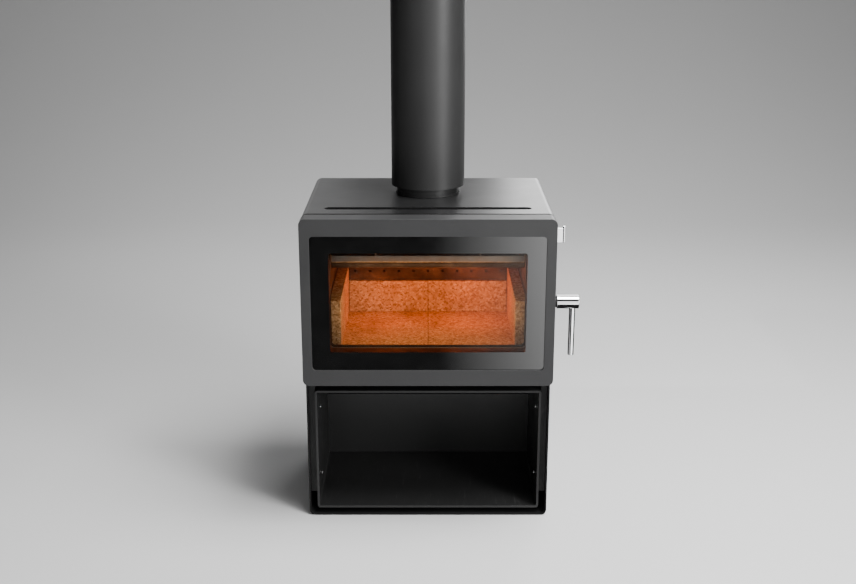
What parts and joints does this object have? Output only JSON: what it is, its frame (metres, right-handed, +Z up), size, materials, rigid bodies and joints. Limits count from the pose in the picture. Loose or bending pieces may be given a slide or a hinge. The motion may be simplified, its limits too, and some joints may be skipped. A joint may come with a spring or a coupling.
{
  "type": "wood burning stove",
  "caption": "Freestanding steel wood stove on an open log store, with a wide side-hinged glazed door, lift handle, sliding air control, brick-lined firebox and a vertical twin-wall flue.",
  "frame": {"origin": "middle of the casing's footprint, on the floor", "axes": "+Z up, -Y out through the door, +X to the right of someone facing the stove"},
  "size_m": [0.714, 0.518, 1.493],
  "materials": {
    "casing_paint": "satin high-temperature black paint on steel plate",
    "inner_paint": "matte black paint on folded sheet",
    "log_box_paint": "satin black paint on folded sheet",
    "door_paint": "satin charcoal textured paint on pressed steel",
    "flue_paint": "matte black stove paint",
    "bush_paint": "black steel bush",
    "firebox_steel": "heat-marked matte black steel with soot",
    "plain_steel": "bare sheet steel, dull",
    "bright_steel": "bare stainless steel",
    "deflector_steel": "heat-dulled stainless steel",
    "chrome_trim": "polished chrome",
    "firebrick": "speckled tan vermiculite board",
    "stove_glass": "flat ceramic glass with a black printed border",
    "gasket_fibre": "woven glass fibre rope and tape"
  },
  "bodies": {
    "stove": {"casing_wrap": "casing_paint", "rear_panel": "inner_paint", "divider_shelf": "inner_paint", "log_box": "log_box_paint", "store_bracket_left": "inner_paint", "store_bracket_right": "inner_paint", "store_screw_left_1": "bright_steel", "store_screw_left_2": "bright_steel", "store_screw_right_1": "bright_steel", "store_screw_right_2": "bright_steel", "firebox_shell": "firebox_steel", "firebox_face_plate": "firebox_steel", "latch_striker": "bright_steel", "firebox_support_left": "plain_steel", "firebox_support_right": "plain_steel", "floor_heat_shield": "plain_steel", "rear_heat_shield": "plain_steel", "floor_brick_front_left": "firebrick", "floor_brick_front_right": "firebrick", "floor_brick_rear_left": "firebrick", "floor_brick_rear_right": "firebrick", "side_brick_left": "firebrick", "side_brick_right": "firebrick", "rear_brick_left": "firebrick", "rear_brick_right": "firebrick", "rear_air_manifold": "firebox_steel", "air_tube_front": "firebox_steel", "air_tube_rear": "firebox_steel", "baffle_board": "firebrick", "airwash_deflector": "deflector_steel", "airwash_duct": "plain_steel", "air_slide_guide": "plain_steel", "flue_collar": "flue_paint", "collar_trim_ring": "flue_paint", "flue_pipe": "bright_steel", "flue_casing": "flue_paint", "flue_spacer_lower": "plain_steel", "flue_spacer_upper": "plain_steel", "hinge_bracket_lower": "firebox_steel", "hinge_bracket_upper": "firebox_steel", "hinge_pin_lower": "bright_steel", "hinge_pin_upper": "bright_steel"},
    "door": {"door_frame": "door_paint", "door_glass": "stove_glass", "glass_gasket": "gasket_fibre", "door_inner_frame": "firebox_steel", "door_rope_seal": "gasket_fibre", "hinge_lug_lower": "door_paint", "hinge_lug_upper": "door_paint", "handle_bush": "bush_paint"},
    "handle": {"handle_hub": "chrome_trim", "handle_rod": "chrome_trim", "latch_spindle": "bright_steel"},
    "air_control": {"air_slide_plate": "plain_steel", "air_control_stem": "bright_steel", "air_control_knob": "chrome_trim"}
  },
  "joints": [
    {"name": "door_hinge", "type": "hinge", "parent": "stove", "child": "door", "pos_m": [-0.314, -0.2445, 0.627], "axis": [0, 0, -1], "range_deg": [0, 110]},
    {"name": "handle_turn", "type": "hinge", "parent": "door", "child": "handle", "pos_m": [0.326, -0.263, 0.626], "axis": [-1, 0, 0], "range_deg": [0, 70]},
    {"name": "air_slide", "type": "slide", "parent": "stove", "child": "air_control", "axis": [0, 1, 0], "range_m": [0, 0.05]}
  ]
}
